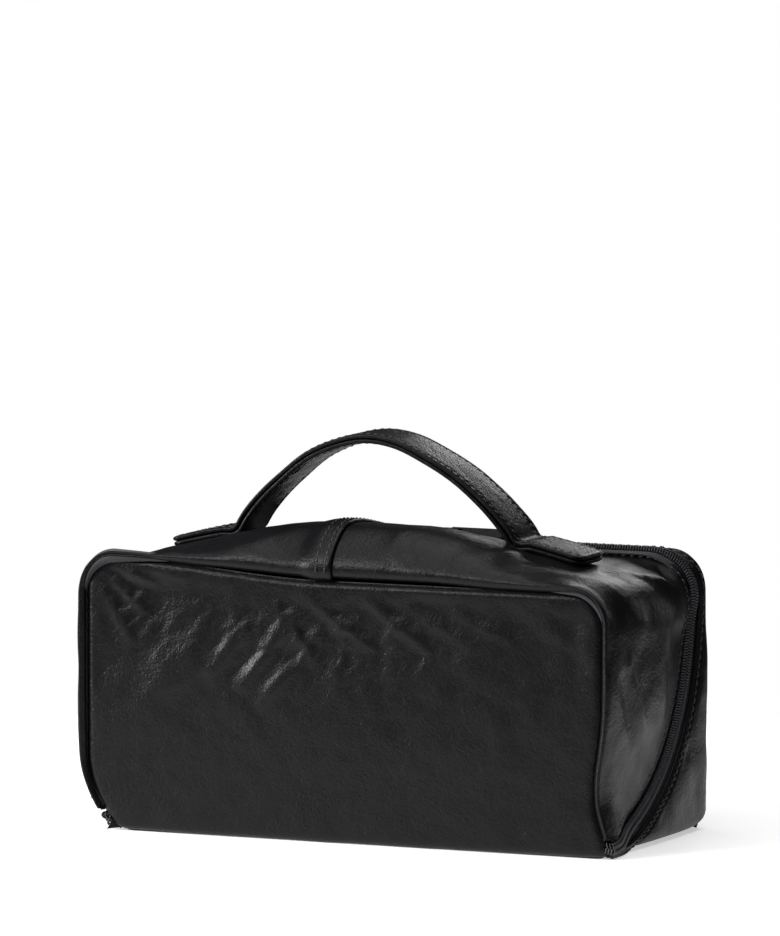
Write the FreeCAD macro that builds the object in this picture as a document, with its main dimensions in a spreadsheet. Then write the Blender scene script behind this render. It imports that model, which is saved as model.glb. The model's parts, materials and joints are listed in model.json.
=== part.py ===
import FreeCAD, Part
import math
import os

import Sketcher

# A soft leather makeup bag that opens like a clam. The lid is the back panel, the lid gusset and
# the handle. The base is the front panel, the bottom and the base gusset. A zip runs from one
# bottom corner at the back, round the far top edge, to the other bottom corner at the back.
# Frame: X along the bag, +Y towards the front panel (the side that opens), +Z up.
# The origin is the middle of the underside.

DIMENSIONS = {
    # the whole bag
    "bag_length": 270.0,
    "bag_depth": 122.0,
    "crest_height": 143.5,
    "crest_setback": 30.0,
    "top_radius": 200.0,
    "crown_radius": 400.0,
    "shoulder_radius": 25.5,
    "fold_radius": 4.0,
    "rim_radius": 3.5,
    "dip_radius": 8.0,
    "top_corner_radius": 25.0,
    "bottom_corner_radius": 8.0,
    # its layers
    "leather": 1.6,
    "padding": 1.5,
    "lining": 0.6,
    "binding": 2.4,
    "binding_width": 9.0,
    "binding_inset": 6.0,
    "binding_start": 14.0,
    "binding_drop": 4.5,
    "binding_corner": 6.0,
    # the back and front panels, their padding and the board in the bottom
    "seam_inset": 4.5,
    "panel_corner_radius": 15.0,
    "hinge_gap": 0.4,
    "back_seam_height": 122.0,
    "front_seam_height": 129.0,
    "padding_inset": 11.0,
    "padding_bottom": 12.0,
    "board_inset": 14.0,
    "lining_inset": 9.0,
    # the lapped seam in the middle of the lid gusset
    "lap_edge": -4.0,
    "lap_width": 12.0,
    # the zip
    "zip_radius": 110.0,
    "zip_setback": 1.5,
    "zip_bottom": 5.0,
    "zip_top": 132.0,
    "zip_tilt": 28.0,
    "leather_gap": 6.0,
    "lining_gap": 8.5,
    "tape": 0.7,
    "tape_width": 13.0,
    "zip_start": 3.0,
    "lid_tape_gap": 0.15,
    "base_tape_gap": 2.0,
    "row_gap": 0.1,
    "row_width": 2.8,
    "row_rise": 0.7,
    "eye_length": 30.0,
    "eye_width": 2.2,
    # the two sliders and their pulls
    "slider_place": 8.0,
    "slider_length": 11.0,
    "slider_width": 10.4,
    "slider_plate": 0.9,
    "slider_play": 0.3,
    "flange": 0.8,
    "post_length": 2.6,
    "post_width": 1.4,
    "crown_length": 7.0,
    "crown_width": 1.8,
    "crown_rise": 2.7,
    "crown_wall": 0.9,
    "pull_length": 27.0,
    "pull_width": 7.0,
    "pull_thickness": 1.3,
    "pull_bar": 0.55,
    "pull_neck": 5.2,
    "pull_arm": 1.2,
    "pull_play": 0.35,
    # the handle
    "handle_width": 30.0,
    "handle_centre": -7.0,
    "handle_top": 189.5,
    "arch_radius": 78.0,
    "bend_radius": 6.0,
    "strap_leather": 1.5,
    "strap_core": 1.2,
    "tab_end": 112.0,
    "backing": 1.2,
    "backing_start": 68.0,
    "backing_end": 118.0,
    "backing_margin": 5.0,
}

doc = FreeCAD.newDocument("makeup_bag")
sizes = doc.addObject("Spreadsheet::Sheet", "Sizes")
for row, (alias, value) in enumerate(DIMENSIONS.items(), 1):
    sizes.set(f"A{row}", alias)
    sizes.set(f"B{row}", str(value))
    sizes.setAlias(f"B{row}", alias)
doc.recompute()

SIDE_VIEW = FreeCAD.Rotation(FreeCAD.Vector(1, 1, 1), 120)
FRONT_VIEW = FreeCAD.Rotation(FreeCAD.Vector(1, 0, 0), 90)
ALONG_X = FreeCAD.Vector(1, 0, 0)
ALONG_Y = FreeCAD.Vector(0, 1, 0)
FAR = "300"
parts = []


# ---- the sheet, booleans and boxes ---------------------------------------------------------------


def size(alias):
    """The value of one driving dimension."""
    return float(sizes.get(alias))


def in_sheet(formula):
    """A formula over dimension names, as an expression that reads them from the sheet."""
    words = formula.replace("(", " ( ").replace(")", " ) ").split()
    return " ".join(f"Sizes.{word}" if word in DIMENSIONS else word for word in words)


def keep(item, node):
    """Mark an object as one sub-part, with its node's name."""
    item.Label = node
    parts.append(item)
    return item


def box(name, x, y, z):
    """A box between two formulas along each axis."""
    item = doc.addObject("Part::Box", name)
    for (low, high), side, place in zip((x, y, z), ("Length", "Width", "Height"), "xyz"):
        item.setExpression(side, in_sheet(f"( {high} ) - ( {low} )"))
        item.setExpression(f"Placement.Base.{place}", in_sheet(low))
    return item


def cylinder_along_x(name, radius, y, z):
    """A cylinder round a line parallel to X, as long as the bag and more."""
    item = doc.addObject("Part::Cylinder", name)
    item.Placement.Rotation = FreeCAD.Rotation(ALONG_Y, 90)
    item.setExpression("Radius", in_sheet(radius))
    item.setExpression("Height", f"2 * {FAR}")
    item.setExpression("Placement.Base.x", f"-{FAR}")
    item.setExpression("Placement.Base.y", in_sheet(y))
    item.setExpression("Placement.Base.z", in_sheet(z))
    return item


def fuse(name, items):
    """One solid out of several that touch or overlap."""
    item = doc.addObject("Part::MultiFuse", name)
    item.Shapes = items
    item.Refine = True
    return item


def cut(name, base, *tools):
    """What is left of one solid when others are taken out of it."""
    for index, tool in enumerate(tools):
        item = doc.addObject("Part::Cut", f"{name}_{index}")
        item.Base = base
        item.Tool = tool
        item.Refine = True
        base = item
    return base


def common(name, *items):
    """What all the given solids share."""
    item = doc.addObject("Part::MultiCommon", name)
    item.Shapes = list(items)
    item.Refine = True
    return item


# ---- sketches ------------------------------------------------------------------------------------


def line(sketch, start, end):
    """Draw a line and give its number."""
    return sketch.addGeometry(Part.LineSegment(FreeCAD.Vector(*start, 0), FreeCAD.Vector(*end, 0)))


def arc(sketch, centre, radius, start, end):
    """Draw an arc that runs anticlockwise between two angles in degrees, and give its number."""
    circle = Part.Circle(FreeCAD.Vector(*centre, 0), FreeCAD.Vector(0, 0, 1), radius)
    turn = Part.ArcOfCircle(circle, math.radians(start), math.radians(end))
    return sketch.addGeometry(turn)


def fix(sketch, kind, formula, *where):
    """Drive one dimension of a sketch from the sheet, starting from its size as drawn."""
    if kind == "Radius":
        drawn = sketch.Geometry[where[0]].Radius
    elif kind == "Angle":
        drawn = math.radians(size("zip_tilt"))
    else:
        end = sketch.getPoint(*where[-2:])
        drawn = end.x if kind == "DistanceX" else end.y
    index = sketch.addConstraint(Sketcher.Constraint(kind, *where, drawn))
    sketch.setExpression(f"Constraints[{index}]", in_sheet(formula))


def place(sketch, item, end, across, up):
    """Hold one point of a sketch at two coordinates. An empty formula means on the axis."""
    if across:
        fix(sketch, "DistanceX", across, -1, 1, item, end)
    else:
        sketch.addConstraint(Sketcher.Constraint("PointOnObject", item, end, -2))
    if up:
        fix(sketch, "DistanceY", up, -1, 1, item, end)
    else:
        sketch.addConstraint(Sketcher.Constraint("PointOnObject", item, end, -1))


def join(sketch, pairs):
    """Make pieces of a sketch run smoothly into each other at the given ends."""
    for first, first_end, second, second_end in pairs:
        sketch.addConstraint(Sketcher.Constraint("Tangent", first, first_end, second, second_end))


def angle_of(across, up):
    """The direction of a step, in degrees."""
    return math.degrees(math.atan2(up, across))


def draw_side_view():
    """The bag's outline seen from its end: two walls, a domed top, and a dip before the zip."""
    sketch = doc.addObject("Sketcher::SketchObject", "side_outline")
    sketch.Placement.Rotation = SIDE_VIEW
    wall = size("bag_depth") / 2
    fold, rim, dip = size("fold_radius"), size("rim_radius"), size("dip_radius")
    top, shoulder, tilt = size("top_radius"), size("shoulder_radius"), size("zip_tilt")
    top_y, top_z = -size("crest_setback"), size("crest_height") - top
    zip_y = size("zip_setback") + size("zip_radius") - wall
    zip_z = size("zip_top")
    slope_y, slope_z = math.cos(math.radians(tilt)), math.sin(math.radians(tilt))
    # the rim's arc touches the front wall and lies under the zip's slope
    rim_y = wall - rim
    rim_z = zip_z + ((rim_y - zip_y) * slope_z - rim) / slope_y
    # the dip's arc lies on the zip's slope and touches the domed top
    near_y, near_z = zip_y - dip * slope_z - top_y, zip_z + dip * slope_y - top_z
    half = near_y * slope_y + near_z * slope_z
    reach = near_y**2 + near_z**2 - (top + dip) ** 2
    step = -half + math.sqrt(half**2 - reach)
    dip_y, dip_z = near_y + step * slope_y + top_y, near_z + step * slope_z + top_z
    # the shoulder's arc touches the back wall and the domed top
    shoulder_y = shoulder - wall
    shoulder_z = top_z + math.sqrt((top - shoulder) ** 2 - (shoulder_y - top_y) ** 2)
    to_dip = angle_of(dip_y - top_y, dip_z - top_z)
    to_shoulder = angle_of(shoulder_y - top_y, shoulder_z - top_z)

    bottom = line(sketch, (fold - wall, 0), (wall - fold, 0))
    front_fold = arc(sketch, (wall - fold, fold), fold, -90, 0)
    front = line(sketch, (wall, fold), (wall, rim_z))
    rim_arc = arc(sketch, (rim_y, rim_z), rim, 0, 90 + tilt)
    zip_start = (dip_y + dip * slope_z, dip_z - dip * slope_y)
    zip_end = (rim_y - rim * slope_z, rim_z + rim * slope_y)
    zip_line = line(sketch, zip_start, zip_end)
    dip_arc = arc(sketch, (dip_y, dip_z), dip, to_dip - 180, tilt - 90)
    dome = arc(sketch, (top_y, top_z), top, to_dip, to_shoulder)
    back_shoulder = arc(sketch, (shoulder_y, shoulder_z), shoulder, to_shoulder, 180)
    back = line(sketch, (-wall, shoulder_z), (-wall, fold))
    back_fold = arc(sketch, (fold - wall, fold), fold, 180, 270)
    zip_point = sketch.addGeometry(Part.Point(FreeCAD.Vector(zip_y, zip_z, 0)), True)

    join(sketch, [(bottom, 2, front_fold, 1), (front_fold, 2, front, 1), (front, 2, rim_arc, 1)])
    join(sketch, [(rim_arc, 2, zip_line, 2), (zip_line, 1, dip_arc, 2), (dip_arc, 1, dome, 1)])
    join(sketch, [(dome, 2, back_shoulder, 1), (back_shoulder, 2, back, 1)])
    join(sketch, [(back, 2, back_fold, 1), (back_fold, 2, bottom, 1)])
    sketch.addConstraint(Sketcher.Constraint("Horizontal", bottom))
    sketch.addConstraint(Sketcher.Constraint("PointOnObject", bottom, 1, -1))
    sketch.addConstraint(Sketcher.Constraint("Vertical", front))
    sketch.addConstraint(Sketcher.Constraint("Vertical", back))
    fix(sketch, "DistanceX", "bag_depth / 2", -1, 1, front, 1)
    fix(sketch, "DistanceX", "- bag_depth / 2", -1, 1, back, 1)
    place(sketch, dome, 3, "- crest_setback", "crest_height - top_radius")
    place(sketch, zip_point, 1, "zip_setback + zip_radius - bag_depth / 2", "zip_top")
    sketch.addConstraint(Sketcher.Constraint("PointOnObject", zip_point, 1, zip_line))
    fix(sketch, "Angle", "zip_tilt * 1 deg", zip_line)
    for item in (front_fold, back_fold):
        fix(sketch, "Radius", "fold_radius", item)
    fix(sketch, "Radius", "rim_radius", rim_arc)
    fix(sketch, "Radius", "dip_radius", dip_arc)
    fix(sketch, "Radius", "top_radius", dome)
    fix(sketch, "Radius", "shoulder_radius", back_shoulder)
    return sketch


def draw_front_view():
    """The bag's outline seen from the front: straight ends, round corners and a crowned top."""
    sketch = doc.addObject("Sketcher::SketchObject", "front_outline")
    sketch.Placement.Rotation = FRONT_VIEW
    end = size("bag_length") / 2
    foot, corner, crown = size("bottom_corner_radius"), size("top_corner_radius"), size("crown_radius")
    crown_z = size("crest_height") - crown
    corner_x = end - corner
    corner_z = crown_z + math.sqrt((crown - corner) ** 2 - corner_x**2)
    lean = angle_of(corner_x, corner_z - crown_z)

    bottom = line(sketch, (foot - end, 0), (end - foot, 0))
    foot_right = arc(sketch, (end - foot, foot), foot, -90, 0)
    right = line(sketch, (end, foot), (end, corner_z))
    corner_right = arc(sketch, (corner_x, corner_z), corner, 0, lean)
    top = arc(sketch, (0, crown_z), crown, lean, 180 - lean)
    corner_left = arc(sketch, (-corner_x, corner_z), corner, 180 - lean, 180)
    left = line(sketch, (-end, corner_z), (-end, foot))
    foot_left = arc(sketch, (foot - end, foot), foot, 180, 270)

    loop = [bottom, foot_right, right, corner_right, top, corner_left, left, foot_left]
    join(sketch, [(item, 2, after, 1) for item, after in zip(loop, loop[1:] + loop[:1])])
    sketch.addConstraint(Sketcher.Constraint("Horizontal", bottom))
    sketch.addConstraint(Sketcher.Constraint("PointOnObject", bottom, 1, -1))
    sketch.addConstraint(Sketcher.Constraint("Vertical", right))
    sketch.addConstraint(Sketcher.Constraint("Vertical", left))
    fix(sketch, "DistanceX", "bag_length / 2", -1, 1, right, 1)
    fix(sketch, "DistanceX", "- bag_length / 2", -1, 1, left, 1)
    place(sketch, top, 3, "", "crest_height - crown_radius")
    for item in (foot_right, foot_left):
        fix(sketch, "Radius", "bottom_corner_radius", item)
    for item in (corner_right, corner_left):
        fix(sketch, "Radius", "top_corner_radius", item)
    fix(sketch, "Radius", "crown_radius", top)
    return sketch


def extrude(name, profile, direction):
    """Push a flat outline through the whole bag both ways."""
    item = doc.addObject("Part::Extrusion", name)
    item.Base = profile
    item.DirMode = "Custom"
    item.Dir = direction
    item.LengthFwd = 2 * float(FAR)
    item.Symmetric = True
    item.Solid = True
    return item


# ---- the bag's shape at any depth below or above its skin ----------------------------------------

side_view = draw_side_view()
front_view = draw_front_view()


def grown(sketch, name, offset):
    """The outline moved outwards by a formula, or inwards where it is negative."""
    if offset == "0":
        return sketch
    item = doc.addObject("Part::Offset2D", name)
    item.Source = sketch
    item.setExpression("Value", in_sheet(offset))
    return item


def form(name, offset):
    """The whole closed bag as one solid, its surface moved by a formula."""
    from_side = extrude(f"{name}_side", grown(side_view, f"{name}_side_line", offset), ALONG_X)
    from_front = extrude(f"{name}_front", grown(front_view, f"{name}_front_line", offset), ALONG_Y)
    return common(name, from_side, from_front)


skin = form("skin", "0")
under_leather = form("under_leather", "- leather")
under_tape = form("under_tape", "- leather - tape")
under_backing = form("under_backing", "- leather - backing")
over_lining = form("over_lining", "- leather - padding")
inside = form("inside", "- leather - padding - lining")
over_rows = form("over_rows", "row_rise")
over_lap = form("over_lap", "leather")

leather_shell = cut("leather_shell", skin, under_leather)
tape_shell = cut("tape_shell", under_leather, under_tape)
row_shell = cut("row_shell", over_rows, under_leather)
lining_shell = cut("lining_shell", over_lining, inside)

ZIP_Y = "zip_setback - bag_depth / 2"
ZIP_Z = "zip_bottom + zip_radius"


def lid_side(name, gap):
    """All the space on the lid's side of the zip, back from its centre line by a formula."""
    reach = f"zip_radius - ( {gap} )"
    bowl = cylinder_along_x(f"{name}_bowl", reach, ZIP_Y, ZIP_Z)
    over = box(f"{name}_over", (f"-{FAR}", FAR), (f"-{FAR}", f"{ZIP_Y} + {reach}"), (ZIP_Z, FAR))
    behind = (f"-{FAR}", ZIP_Y), (f"zip_bottom + ( {gap} )", FAR)
    return fuse(name, [bowl, over, box(f"{name}_behind", (f"-{FAR}", FAR), *behind)])


lid_leather_side = lid_side("lid_leather_side", "leather_gap")
base_leather_side = lid_side("base_leather_side", "- leather_gap")
lid_lining_side = lid_side("lid_lining_side", "lining_gap")
base_lining_side = lid_side("base_lining_side", "- lining_gap")
lid_tape_side = lid_side("lid_tape_side", "tape_width")
base_tape_side = lid_side("base_tape_side", "- tape_width")
lid_row_side = lid_side("lid_row_side", "row_width + row_gap")
base_row_side = lid_side("base_row_side", "- row_width - row_gap")
lid_tape_edge = lid_side("lid_tape_edge", "lid_tape_gap")
base_tape_edge = lid_side("base_tape_edge", "- base_tape_gap")
lid_middle = lid_side("lid_middle", "row_gap")
base_middle = lid_side("base_middle", "- row_gap")

ALL = (f"-{FAR}", FAR)
BACK_WALL = "- bag_depth / 2"
FRONT_WALL = "bag_depth / 2"
HINGE_Y = "fold_radius - bag_depth / 2"
left_half = box("left_half", (f"-{FAR}", "lap_edge"), ALL, ALL)
right_half = box("right_half", ("lap_edge", FAR), ALL, ALL)
base_left_half = box("base_left_half", (f"-{FAR}", "0"), ALL, ALL)
base_right_half = box("base_right_half", ("0", FAR), ALL, ALL)
clear_of_back = box("clear_of_back", ALL, (f"{BACK_WALL} + zip_start", FAR), ALL)
underside = box("underside", ALL, ALL, (f"-{FAR}", "fold_radius"))


# ---- panels --------------------------------------------------------------------------------------


def panel(node, inset, y, bottom, top, corner):
    """A flat sheet standing in the front view, between two formulas in Y, with round top corners."""
    body = doc.addObject("PartDesign::Body", node)
    planes = {plane.Role: plane for plane in body.Origin.OriginFeatures}
    sketch = body.newObject("Sketcher::SketchObject", f"{node}_outline")
    sketch.AttachmentSupport = [(planes["XZ_Plane"], "")]
    sketch.MapMode = "FlatFace"
    reach, low, high = 100.0, 10.0, 100.0
    corners = [(-reach, low), (reach, low), (reach, high), (-reach, high)]
    sides = [line(sketch, a, b) for a, b in zip(corners, corners[1:] + corners[:1])]
    for item, after in zip(sides, sides[1:] + sides[:1]):
        sketch.addConstraint(Sketcher.Constraint("Coincident", item, 2, after, 1))
    half = f"bag_length / 2 - ( {inset} )"
    ends = [(f"- ( {half} )", bottom), (half, bottom), (half, top), (f"- ( {half} )", top)]
    for item, (across, up) in zip(sides, ends):
        place(sketch, item, 1, across, up)
    pad = body.newObject("PartDesign::Pad", f"{node}_sheet")
    pad.Profile = sketch
    pad.setExpression("Length", in_sheet(f"( {y[1]} ) - ( {y[0]} )"))
    pad.Reversed = True
    doc.recompute()
    highest = pad.Shape.BoundBox.ZMax
    upper = [
        f"Edge{index}"
        for index, edge in enumerate(pad.Shape.Edges, 1)
        if edge.BoundBox.ZMin > highest - 0.1 and edge.BoundBox.XLength < 0.1
    ]
    rounding = body.newObject("PartDesign::Fillet", f"{node}_corners")
    rounding.Base = (pad, upper)
    rounding.setExpression("Radius", in_sheet(corner))
    body.Tip = rounding
    body.setExpression("Placement.Base.y", in_sheet(y[0]))
    return body


panel_bottom = "fold_radius + hinge_gap"
keep(
    panel(
        "back_panel",
        "seam_inset",
        (BACK_WALL, f"{BACK_WALL} + leather"),
        panel_bottom,
        "back_seam_height",
        "panel_corner_radius",
    ),
    "back_panel",
)
keep(
    panel(
        "front_panel",
        "seam_inset",
        (f"{FRONT_WALL} - leather", FRONT_WALL),
        "fold_radius",
        "front_seam_height",
        "panel_corner_radius",
    ),
    "front_panel",
)
back_hole = box(
    "back_hole", ALL, (f"-{FAR}", f"{BACK_WALL} + leather"), (f"-{FAR}", panel_bottom)
)
for name, start, end in (("back", BACK_WALL, ""), ("front", "", FRONT_WALL)):
    if end:
        deep = f"{end} - leather - padding", f"{end} - leather"
    else:
        deep = f"{start} + leather", f"{start} + leather + padding"
    sheet = panel(
        f"{name}_padding",
        "padding_inset",
        deep,
        "padding_bottom",
        f"{name}_seam_height - padding_inset",
        "panel_corner_radius",
    )
    keep(sheet, f"{name}_padding")

bottom_space = box("bottom_space", ALL, (HINGE_Y, FAR), (f"-{FAR}", "fold_radius"))
keep(common("bottom_panel", leather_shell, bottom_space), "bottom_panel")
fold_space = box("fold_space", ALL, (f"-{FAR}", HINGE_Y), (f"-{FAR}", "fold_radius"))
keep(common("hinge_fold", leather_shell, fold_space), "hinge_fold")
board = box(
    "bottom_board",
    ("board_inset - bag_length / 2", "bag_length / 2 - board_inset"),
    (f"{HINGE_Y} + fold_radius", f"{FRONT_WALL} - fold_radius - leather"),
    ("leather", "leather + padding"),
)
keep(board, "bottom_board")


# ---- gussets -------------------------------------------------------------------------------------


def panel_room(name, y, bottom, top):
    """The room that a panel takes out of the gusset round it."""
    room = panel(f"{name}_room", "seam_inset", y, bottom, top, "panel_corner_radius")
    return room


back_room = panel_room("back", (BACK_WALL, f"{BACK_WALL} + leather"), "fold_radius", "back_seam_height")
front_room = panel_room(
    "front", (f"{FRONT_WALL} - leather", FRONT_WALL), "fold_radius", "front_seam_height"
)
lid_gusset = cut("lid_gusset", common("lid_leather", leather_shell, lid_leather_side), back_room)
base_gusset = cut("base_gusset", leather_shell, base_leather_side, underside, front_room)
keep(common("lid_gusset_right", lid_gusset, right_half), "lid_gusset_right")

# the left half is folded over the right half at the middle, and sewn down with two rows
lap_strip = box("lap_strip", ("lap_edge - lap_width", "lap_edge"), (f"{BACK_WALL} + leather", FAR), ALL)
lap_shell = cut("lap_shell", over_lap, skin)
lap = common("lap", lap_shell, lid_leather_side, lap_strip)
lid_left = common("lid_gusset_left_half", lid_gusset, left_half)
keep(fuse("lid_gusset_left", [lid_left, lap]), "lid_gusset_left")
keep(common("base_gusset_left", base_gusset, base_left_half), "base_gusset_left")
keep(common("base_gusset_right", base_gusset, base_right_half), "base_gusset_right")


# ---- linings and seam bindings -------------------------------------------------------------------

lining_reach = ("lining_inset - bag_length / 2", "bag_length / 2 - lining_inset")
back_lining_y = (f"{BACK_WALL} + leather + padding", f"{BACK_WALL} + leather + padding + lining")
lid_hem = box("lid_hem", lining_reach, back_lining_y, ("fold_radius + padding", "bag_depth / 4"))
lid_cloth = common("lid_cloth", lining_shell, lid_lining_side)
keep(fuse("lid_lining", [lid_cloth, lid_hem]), "lid_lining")
base_hem = box(
    "base_hem",
    lining_reach,
    (f"{HINGE_Y} + padding + lining", "0"),
    ("leather + padding", "leather + padding + lining"),
)
base_cloth = cut("base_cloth", lining_shell, base_lining_side)
keep(fuse("base_lining", [base_cloth, base_hem]), "base_lining")


def seam_ring(node, y, bottom, top, foot):
    """The tape that binds the raw edges of a panel's seam, as a flat ring just inside it."""
    corner = "panel_corner_radius"
    outer = panel(f"{node}_outer", "binding_inset", y, bottom, top, corner)
    hole_y = (f"{y[0]} - 1", f"{y[1]} + 1")
    hole_top = f"{top} - binding_width"
    hole = panel(f"{node}_hole", "binding_inset + binding_width", hole_y, foot, hole_top, "binding_corner")
    return keep(cut(node, outer, hole), node)


lid_ring_y = (back_lining_y[1], f"{back_lining_y[1]} + binding")
lid_ring_top = "back_seam_height - binding_drop"
seam_ring("lid_seam_binding", lid_ring_y, "binding_start", lid_ring_top, "0")
front_lining_y = f"{FRONT_WALL} - leather - padding - lining"
base_ring_y = (f"{front_lining_y} - binding", front_lining_y)
base_ring_bottom = "leather + padding + lining + padding"
base_ring_top = "front_seam_height - 2 * binding_drop"
base_ring_foot = f"{base_ring_bottom} + binding_width"
seam_ring("base_seam_binding", base_ring_y, base_ring_bottom, base_ring_top, base_ring_foot)


# ---- zip -----------------------------------------------------------------------------------------

front_wall_space = box(
    "front_wall_space",
    ALL,
    (f"{FRONT_WALL} - leather - tape", FAR),
    (f"-{FAR}", "zip_top - tape_width"),
)
lid_tape = common("lid_tape_band", tape_shell, lid_tape_edge, clear_of_back)
keep(cut("lid_tape", lid_tape, lid_tape_side, underside), "lid_zip_tape")
base_tape = common("base_tape_band", tape_shell, base_tape_side, clear_of_back)
keep(cut("base_tape", base_tape, base_tape_edge, underside, front_wall_space), "base_zip_tape")
eye_wide = ("- eye_width / 2", "eye_width / 2")
eye_left = box("eye_left", ("- eye_length / 2", "0"), eye_wide, ("- bag_depth", "bag_depth"))
eye_right = box("eye_right", ("0", "eye_length / 2"), eye_wide, ("- bag_depth", "bag_depth"))
zip_place = {"y": f"{ZIP_Y} + zip_radius", "z": "zip_top"}
eye_hole = fuse("eye_hole", [eye_left, eye_right])
eye_hole.Placement.Rotation = FreeCAD.Rotation(ALONG_X, size("zip_tilt"))
for axis, formula in zip_place.items():
    eye_hole.setExpression(f"Placement.Base.{axis}", in_sheet(formula))
lid_row = common("lid_row_band", row_shell, lid_middle, clear_of_back)
keep(cut("lid_row", lid_row, lid_row_side, underside, eye_hole), "lid_zip_coil")
base_row = common("base_row_band", row_shell, base_row_side, clear_of_back)
keep(cut("base_row", base_row, base_middle, underside, eye_hole), "base_zip_coil")


# ---- sliders and pulls ---------------------------------------------------------------------------

UNDER_TAPE = "( leather + tape + slider_play )"
OVER_ROWS = "( row_rise + slider_play )"
PIVOT_RISE = "row_rise + slider_play + slider_plate + pull_thickness / 2 + pull_play"


def on_zip(item, side):
    """Set a piece on the zip's slope at one side of the middle, its nose towards the middle."""
    turn = FreeCAD.Rotation(FreeCAD.Vector(0, 0, 1), 0 if side > 0 else 180)
    item.Placement.Rotation = FreeCAD.Rotation(ALONG_X, size("zip_tilt")).multiply(turn)
    item.setExpression("Placement.Base.x", in_sheet(f"{side} * slider_place"))
    for axis, formula in zip_place.items():
        item.setExpression(f"Placement.Base.{axis}", in_sheet(formula))


def slider(side, node):
    """Two plates joined by a post at the nose, with a flange down each side and a crown on top."""
    half = "slider_length / 2"
    long = (f"- {half}", half)
    wide = ("- slider_width / 2", "slider_width / 2")
    top = OVER_ROWS, f"{OVER_ROWS} + slider_plate"
    lower = box(f"{node}_lower", long, wide, (f"- {UNDER_TAPE} - slider_plate", f"- {UNDER_TAPE}"))
    upper = box(f"{node}_upper", long, wide, top)
    skirt = ("2 * slider_play - leather", top[1])
    inner = "( slider_width / 2 - flange )"
    left = box(f"{node}_left", long, (wide[0], f"- {inner}"), skirt)
    right = box(f"{node}_right", long, (inner, wide[1]), skirt)
    post = box(
        f"{node}_post",
        (f"- {half}", f"post_length - {half}"),
        ("- post_width / 2", "post_width / 2"),
        (f"- {UNDER_TAPE} - slider_plate", top[1]),
    )
    crown_wide = ("- crown_width / 2", "crown_width / 2")
    crown = box(
        f"{node}_crown",
        ("- crown_length / 2", "crown_length / 2"),
        crown_wide,
        (OVER_ROWS, f"{top[1]} + crown_rise"),
    )
    window = box(
        f"{node}_window",
        ("crown_wall - crown_length / 2", "crown_length / 2 - crown_wall"),
        wide,
        (top[1], f"{top[1]} + crown_rise - crown_wall"),
    )
    bail = cut(f"{node}_bail", crown, window)
    body = fuse(node, [lower, upper, left, right, post, bail])
    on_zip(body, side)
    return keep(body, node)


def pull(side, node):
    """A flat tab on two arms, with a bar between them that runs through the slider's crown."""
    thick = f"( {PIVOT_RISE} ) - pull_thickness / 2", f"( {PIVOT_RISE} ) + pull_thickness / 2"
    wide = ("- pull_width / 2", "pull_width / 2")
    tab = box(f"{node}_tab", ("pull_neck", "pull_length"), wide, thick)
    outer = "( pull_width / 2 )"
    inner = "( pull_width / 2 - pull_arm )"
    arms = [
        box(f"{node}_arm_left", ("- pull_bar", "pull_neck"), (f"- {outer}", f"- {inner}"), thick),
        box(f"{node}_arm_right", ("- pull_bar", "pull_neck"), (inner, outer), thick),
    ]
    bar = doc.addObject("Part::Cylinder", f"{node}_bar")
    bar.Placement.Rotation = FreeCAD.Rotation(ALONG_X, -90)
    bar.setExpression("Radius", in_sheet("pull_bar"))
    bar.setExpression("Height", in_sheet("pull_width"))
    bar.setExpression("Placement.Base.y", in_sheet(wide[0]))
    bar.setExpression("Placement.Base.z", in_sheet(PIVOT_RISE))
    body = fuse(node, [tab, *arms, bar])
    on_zip(body, side)
    return keep(body, node)


for side, word in ((1, "right"), (-1, "left")):
    slider(side, f"slider_{word}")
    pull(side, f"pull_{word}")


# ---- handle --------------------------------------------------------------------------------------

STRAP = "strap_leather + strap_leather + strap_core"


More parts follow.
